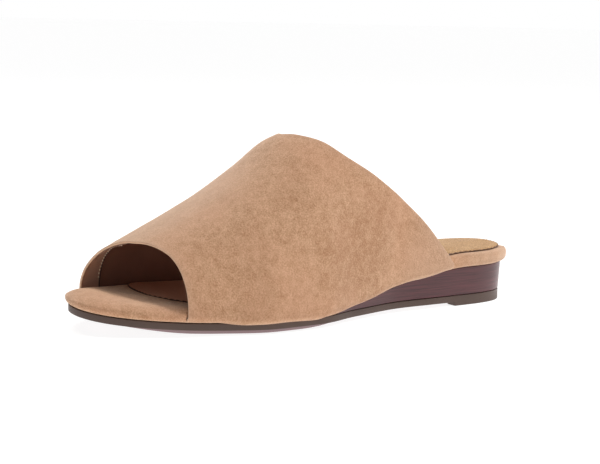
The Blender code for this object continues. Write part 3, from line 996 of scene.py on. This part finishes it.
def vamp_line(stations, side, zone, t):
    """X and Z of the vamp's outer face along one column of its grid."""
    share = stations / FOOTBED_LENGTH
    edges = outline(stations, -VAMP_PROUD)
    base = footbed_underside(stations)
    hang = read(HANG, "drop", share)
    inward = -1 if side == 0 else 1
    if zone == "margin":
        x = edges[side] + inward * (corner_radius + LASTING_MARGIN * (1 - t))
        return x, base - hang * ease(2 * t - 1)
    if zone == "corner":
        angle = pi / 2 * (t - 1)
        x = edges[side] + inward * corner_radius * (1 - cos(angle))
        return x, base + corner_radius * (1 + sin(angle)) - hang
    base = base - hang * (1 - ease(min(t, 1 - t) / HANG_REACH))
    edge = edges[0] if t <= 0.5 else edges[1]
    to_inner = ease((t - SHOULDER_BLEND_START) / SHOULDER_BLEND)
    power = read(VAMP_SECTIONS, "outer_shoulder", share)
    power = power + (read(VAMP_SECTIONS, "inner_shoulder", share) - power) * to_inner
    ridge = centre_line(stations) - BALL_WIDTH * read(VAMP_SECTIONS, "ridge", share)
    crest = base + INSTEP_HEIGHT * read(VAMP_SECTIONS, "crest", share)
    reach = abs(cos(pi * t)) ** (2 / power)
    lift = abs(sin(pi * t)) ** (2 / power)
    return ridge + (edge - ridge) * reach, base + corner_radius + (crest - base - corner_radius) * lift


def around_of(side, zone, t):
    return t if zone == "arch" else float(side)


def folded(station, around):
    """How far the folds and the slack of the suede lift or sink its face."""
    lift = 0.0
    for fold in FOLDS:
        away = station - fold.station
        round_it = (around - fold.around) * GIRTH
        turn = radians(fold.turn)
        along = (away * cos(turn) + round_it * sin(turn)) / fold.length
        across = (round_it * cos(turn) - away * sin(turn)) / fold.width
        lift -= fold.depth * np.exp(-along ** 2 - across ** 2)
    return lift


def vamp_face(from_edge):
    """The grid of the vamp's outer face, which stops a little short of its cut edges, and its stations."""
    shares = np.linspace(0, 1, VAMP_ROWS + 1)
    shares = (1 - EDGE_TIGHTNESS) * shares + EDGE_TIGHTNESS * (1 - np.cos(pi * shares)) / 2
    columns, stations_of, around_at = [], [], []
    for side, zone, t in vamp_columns():
        around = around_of(side, zone, t)
        cut_back = MARGIN_CUT_BACK * (1 - t) - CORNER_POINT if zone == "margin" else 0.0
        if zone == "corner":
            cut_back = -CORNER_POINT * (1 - t)
        opening = FOOTBED_LENGTH * float(read(VAMP_CUTS, "opening", around)) + cut_back / 4 + from_edge
        collar = FOOTBED_LENGTH * float(read(VAMP_CUTS, "collar", around)) - cut_back - from_edge
        stations = opening + (collar - opening) * shares
        x, z = vamp_line(stations, side, zone, t)
        columns.append(np.stack((x, stations - FOOTBED_LENGTH / 2, z), axis=1))
        stations_of.append(stations)
        around_at.append(np.full(len(stations), around))
    return np.array(columns), np.array(stations_of), np.array(around_at)


def face_normals(grid):
    """Unit normals of a grid of points, out of the shoe."""
    along = np.gradient(grid, axis=1)
    across = np.gradient(grid, axis=0)
    normals = np.cross(along, across)
    return normals / np.linalg.norm(normals, axis=2, keepdims=True)


face, station_at, around_at = vamp_face(EDGE_ROUND)
normals = face_normals(face)
free = np.array([zone == "arch" for side, zone, t in vamp_columns()])[:, None]
hold = ease(np.minimum(around_at, 1 - around_at) / HOLD_REACH) * free
lift = folded(station_at, around_at)
wander = np.array([[noise.noise(Vector(p) / WAVER_SIZE) for p in line] for line in face])
face = face + normals * ((lift + WAVER * wander) * hold)[..., None]
normals = face_normals(face)


def sheet_rings(outside, inside, short_at_collar, short_at_opening):
    """Rings round each column of a sheet between two depths under the vamp's face, with round edges."""
    radius = min(EDGE_ROUND, (inside - outside) / 2)
    rings = []
    for points, ups in zip(face, normals):
        ends = []
        for last, before, short in ((-1, -2, short_at_collar), (0, 1, short_at_opening)):
            heading = points[last] - points[before]
            heading /= np.linalg.norm(heading)
            edge = []
            for i in range(1, EDGE_STEPS + 1):
                angle = pi / 2 * i / EDGE_STEPS
                depth = outside + radius * (1 - cos(angle))
                edge.append(points[last] + heading * (radius * sin(angle) - short) - ups[last] * depth)
            for i in range(EDGE_STEPS):
                angle = pi / 2 * i / EDGE_STEPS
                depth = inside - radius * (1 - sin(angle))
                edge.append(points[last] + heading * (radius * cos(angle) - short) - ups[last] * depth)
            ends.append(edge)
        over = points - ups * outside
        under = (points - ups * inside)[::-1]
        closed = np.concatenate((over, ends[0], under, ends[1][::-1]))
        rings.append(np.roll(closed, EDGE_STEPS, axis=0))
    return np.array(rings)


skin_rings = sheet_rings(0.0, SUEDE_THICKNESS, 0.0, 0.0)

# Round each ring, the inner half of both edges is the raw cut
cut = [1] * (EDGE_STEPS + 1)
suede = [0] * VAMP_ROWS
bands = np.roll(suede + [0] * EDGE_STEPS + cut + suede + cut + [0] * EDGE_STEPS, EDGE_STEPS)
opening_at = station_at[:, :1]
collar_at = station_at[:, -1:]
edges = np.exp(-(station_at - opening_at) / EDGE_PALE_REACH) + np.exp(-(collar_at - station_at) / EDGE_PALE_REACH)
beside = np.minimum(around_at, 1 - around_at)
share_at = station_at / FOOTBED_LENGTH
low = 1 - ease(beside / LOW_REACH)
rear = ease((share_at - REAR_START) / REAR_LENGTH)
crest = np.exp(-((around_at - CREST_PLACE) / CREST_WIDTH) ** 2)
crest = crest * (1 - ease((station_at - CREST_END) / CREST_FADE))
waist = ease((share_at - WAIST_START) / WAIST_RISE) * (1 - ease((share_at - WAIST_END) / WAIST_FALL))
waist = waist * (1 - ease((beside - WAIST_TOP) / WAIST_BLEND))
# Paler nap: edge wear with a painted rim light, and painted light low at the rear and on the crest. The
# waist's deeper nap is painted shade
wear_with_painted_light_and_shade = clamp(edges * EDGE_WEAR_AND_RIM_LIGHT + low * (LOW_PAINTED_LIGHT + REAR_PAINTED_LIGHT * rear) + crest * CREST_PAINTED_LIGHT)
wear_with_painted_light_and_shade = wear_with_painted_light_and_shade - waist * WAIST_PAINTED_SHADE
nap = []
for line in wear_with_painted_light_and_shade:
    edge = [CUT_WEAR_AND_RIM_LIGHT] * (2 * EDGE_STEPS)
    nap.append(np.roll(np.concatenate((line, edge, line[::-1], edge)), EDGE_STEPS))
vamp = lofted("vamp_suede", skin_rings, bands, nap=nap)

# The lining is in two parts, joined by a stitched seam: a paler facing shows at the inner end of the
# toe opening, and its seam runs down behind it to the footbed
FACING = 0.0308
FACING_EDGE = 0.0003
FACING_LEAST = 0.001
LINING_GAP = 0.00004
LINING_SHORT_AT_COLLAR = 0.0004
LINING_SHORT_AT_OPENING = 0.0014
SEAM_TOP = 0.5
SEAM_FOOT = 0.98
SEAM_INSET = 0.0009
SEAM_STAND = 0.0002
SEAM_STITCH = 0.0011
SEAM_THREAD = 0.0007
SEAM_PITCH = 0.0019
SEAM_SHADOW_PLACE = 0.0004
SEAM_SHADOW_HALF = 0.0003
SEAM_SHADOW_END = 0.0007
facing_distance = []
for line in station_at:
    collar_edge, opening_edge = [[end] * (2 * EDGE_STEPS) for end in (line[-1], line[0])]
    closed = np.concatenate((line, collar_edge, line[::-1], opening_edge))
    facing_distance.append(np.roll(closed, EDGE_STEPS))
lining_rings = sheet_rings(
    SUEDE_THICKNESS + LINING_GAP, VAMP_WALL, LINING_SHORT_AT_COLLAR, LINING_SHORT_AT_OPENING
)
lining = lofted("vamp_lining", lining_rings, nap=facing_distance)
seam, seam_ups = [], []
for points, ups, line, (side, zone, t) in zip(face, normals, station_at, vamp_columns()):
    if zone != "arch" or not SEAM_TOP < t < SEAM_FOOT or line[0] > FACING - FACING_LEAST:
        continue
    inner = points - ups * (VAMP_WALL + SEAM_STAND)
    seam.append([np.interp(FACING - SEAM_INSET, line, inner[:, k]) for k in range(3)])
    seam_ups.append([np.interp(FACING - SEAM_INSET, line, -ups[:, k]) for k in range(3)])
places, headings = resampled(np.array(seam), SEAM_PITCH, closed=False)
nearest = [int(np.argmin(np.linalg.norm(np.array(seam) - place, axis=1))) for place in places]
ups = [seam_ups[i] for i in nearest]
facing_stitches = stitched("facing_stitches", places[:-1], headings[:-1], ups, SEAM_STITCH, SEAM_THREAD)

# Cut edge of the suede: the pale undyed core shows, with a fuzz that is drawn coarser than real
CUT_EDGE = linear("#e2c8b0")
CUT_FUZZ = 0.0005
cut_edge, place = start_material("raw_cut_edge")
fuzz = add_node(cut_edge, "TexNoise", {"Vector": place, "Scale": 1 / CUT_FUZZ, "Detail": 2.0})
tone = add_node(cut_edge, "Mix", {0: fuzz, 6: CUT_EDGE, 7: SUEDE_PALE}, data_type="RGBA")
relief = add_node(cut_edge, "Bump", {"Height": fuzz, "Strength": 0.4, "Distance": 0.0002})
shader = add_node(cut_edge, "BsdfPrincipled", {
    "Base Color": tone,
    "Roughness": 0.9,
    "Specular IOR Level": 0.2,
    "Normal": relief,
})
add_node(cut_edge, "OutputMaterial", {"Surface": shader})

# Lining: thin dark brown leather, smooth and dull, with faint pores, and a painted shadow line behind the
# facing's seam
LINING_BROWN = linear("#7c5243")
LINING_LIGHT = linear("#8d624f")
LINING_FACING = linear("#bd9680")
LINING_CLOUD = 0.010
LINING_GRAIN = 0.0008
lining_leather, place = start_material("dull_brown_lining_leather")
clouds = add_node(lining_leather, "TexNoise", {"Vector": place, "Scale": 1 / LINING_CLOUD, "Detail": 4.0})
tone = add_node(lining_leather, "Mix", {0: clouds, 6: LINING_BROWN, 7: LINING_LIGHT}, data_type="RGBA")
distance = add_node(lining_leather, "Attribute", {}, attribute_name="nap").outputs["Fac"]
behind = add_node(lining_leather, "MapRange", {"Value": distance, 1: FACING, 2: FACING + FACING_EDGE})
tone = add_node(lining_leather, "Mix", {0: behind, 6: LINING_FACING, 7: tone}, data_type="RGBA")
# Painted shadow: a dark line just behind the facing's seam, where the facing's step would cast it
from_seam = add_node(lining_leather, "Math", {0: distance, 1: FACING + SEAM_SHADOW_PLACE}, operation="SUBTRACT")
from_seam = add_node(lining_leather, "Math", {0: from_seam}, operation="ABSOLUTE")
painted_seam_shadow = add_node(lining_leather, "MapRange", {
    "Value": from_seam,
    1: SEAM_SHADOW_HALF,
    2: SEAM_SHADOW_END,
    3: 0.3,
    4: 1.0,
})
tone = add_node(lining_leather, "Mix", {0: 1.0, 6: tone, 7: painted_seam_shadow}, data_type="RGBA", blend_type="MULTIPLY")
grain = add_node(lining_leather, "TexNoise", {"Vector": place, "Scale": 1 / LINING_GRAIN, "Detail": 2.0})
relief = add_node(lining_leather, "Bump", {"Height": grain, "Strength": 0.3, "Distance": 0.0002})
shader = add_node(lining_leather, "BsdfPrincipled", {
    "Base Color": tone,
    "Roughness": 0.6,
    "Specular IOR Level": 0.3,
    "Normal": relief,
})
add_node(lining_leather, "OutputMaterial", {"Surface": shader})

# Pale thread: undyed polyester, matt
PALE_THREAD = linear("#f4e2cd")
pale_thread = twisted_thread("undyed_thread", PALE_THREAD, 0.7)

vamp.data.materials.append(brushed_suede)
vamp.data.materials.append(cut_edge)
lining.data.materials.append(lining_leather)
facing_stitches.data.materials.append(pale_thread)
for piece in (vamp, lining, facing_stitches):
    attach(piece, "root")
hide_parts("upper")

# Studio
# The shoe stands on a white acrylic table that is lit from below, as for a catalogue, so its shadow is
# faint. The main light stands high behind the outer side, a weaker one above the inner side, and one
# low behind the heel. The camera looks past the outer side of the toe, from just above. The tooth of
# the acrylic is drawn coarser than real.
FLOOR_RADIUS = 12.0
FLOOR_TOOTH = 0.002
shape = bmesh.new()
bmesh.ops.create_circle(shape, cap_ends=True, radius=FLOOR_RADIUS, segments=96)
table = from_shape("studio_floor", shape)

lit_acrylic, place = start_material("lit_white_acrylic")
tooth = add_node(lit_acrylic, "TexNoise", {"Vector": place, "Scale": 1 / FLOOR_TOOTH, "Detail": 1.0})
relief = add_node(lit_acrylic, "Bump", {"Height": tooth, "Strength": 0.05, "Distance": 0.0002})
shader = add_node(lit_acrylic, "BsdfPrincipled", {
    "Base Color": linear("#8c8c8c"),
    "Roughness": 0.9,
    "Specular IOR Level": 0.2,
    "Emission Color": linear("#ffffff"),
    "Emission Strength": 0.88,
    "Normal": relief,
})
add_node(lit_acrylic, "OutputMaterial", {"Surface": shader})
table.data.materials.append(lit_acrylic)


def direction_to(azimuth, elevation):
    """The way out from the shoe. Azimuth 0 is in front of the toe, and 90 at the outer side."""
    a, e = radians(azimuth), radians(elevation)
    return Vector((sin(a) * cos(e), -cos(a) * cos(e), sin(e)))


def softbox(name, azimuth, elevation, distance, width, watts, warmth="#ffffff"):
    """A square soft light that looks at the shoe."""
    light = bpy.data.lights.new(name, "AREA")
    light.shape = "SQUARE"
    light.size = width
    light.energy = watts
    light.color = linear(warmth)[:3]
    lamp = bpy.data.objects.new(name, light)
    bpy.context.scene.collection.objects.link(lamp)
    back = direction_to(azimuth, elevation)
    lamp.location = back * distance
    lamp.rotation_euler = (-back).to_track_quat("-Z", "Y").to_euler()


LIGHT_DISTANCE = 1.5
softbox("overhead_light", 150, 64, LIGHT_DISTANCE, width=0.28, watts=15.5)
softbox("inner_side_light", 272, 56, LIGHT_DISTANCE, width=0.70, watts=12, warmth="#fff6ec")
softbox("heel_light", 190, 6, LIGHT_DISTANCE, width=0.35, watts=4)

# The room: white at the horizon, dim above it and in front of the toe, a little brighter again overhead
world = bpy.data.worlds.new("soft_room")
world.use_nodes = True
direction = add_node(world, "TexCoord", {}).outputs["Generated"]
parts = add_node(world, "SeparateXYZ", {"Vector": direction})
sky = add_node(world, "ValToRGB", {"Fac": parts.outputs["Z"]})
sky.color_ramp.interpolation = "EASE"
sky.color_ramp.elements[0].color = (1.0, 1.0, 1.0, 1.0)
sky.color_ramp.elements[-1].color = (0.5, 0.5, 0.5, 1.0)
for at, level in ((0.04, 1.0), (0.10, 0.8), (0.30, 0.34), (0.60, 0.34)):
    stop = sky.color_ramp.elements.new(at)
    stop.color = (level, level, level, 1.0)
fore = add_node(world, "MapRange", {"Value": parts.outputs["Y"], 1: -0.6, 2: 0.1, 3: 0.28, 4: 1.0})
above = add_node(world, "MapRange", {"Value": parts.outputs["Z"], 1: 0.04, 2: 0.14})
shaded = add_node(world, "Mix", {0: above, 2: 1.0, 3: fore})
room = add_node(world, "Mix", {0: 1.0, 6: sky, 7: shaded}, data_type="RGBA", blend_type="MULTIPLY")
background = world.node_tree.nodes["Background"]
world.node_tree.links.new(room.outputs[2], background.inputs["Color"])
background.inputs["Strength"].default_value = 1.0
bpy.context.scene.world = world
bpy.context.scene.view_settings.view_transform = "Standard"

CAMERA_AZIMUTH = 57.01
CAMERA_ELEVATION = 7.75
CAMERA_DISTANCE = 0.8573
CAMERA_ROLL = 1.165
AIM_HEIGHT = 0.0405
LENS = 101.2
back = direction_to(CAMERA_AZIMUTH, CAMERA_ELEVATION)
camera = bpy.data.objects.new("camera", bpy.data.cameras.new("camera"))
bpy.context.scene.collection.objects.link(camera)
camera.data.lens = LENS
camera.location = Vector((shoe_middle, 0.0, AIM_HEIGHT)) + back * CAMERA_DISTANCE
camera.rotation_mode = "QUATERNION"
camera.rotation_quaternion = (-back).to_track_quat("-Z", "Y") @ Quaternion((0, 0, 1), radians(CAMERA_ROLL))
bpy.context.scene.camera = camera
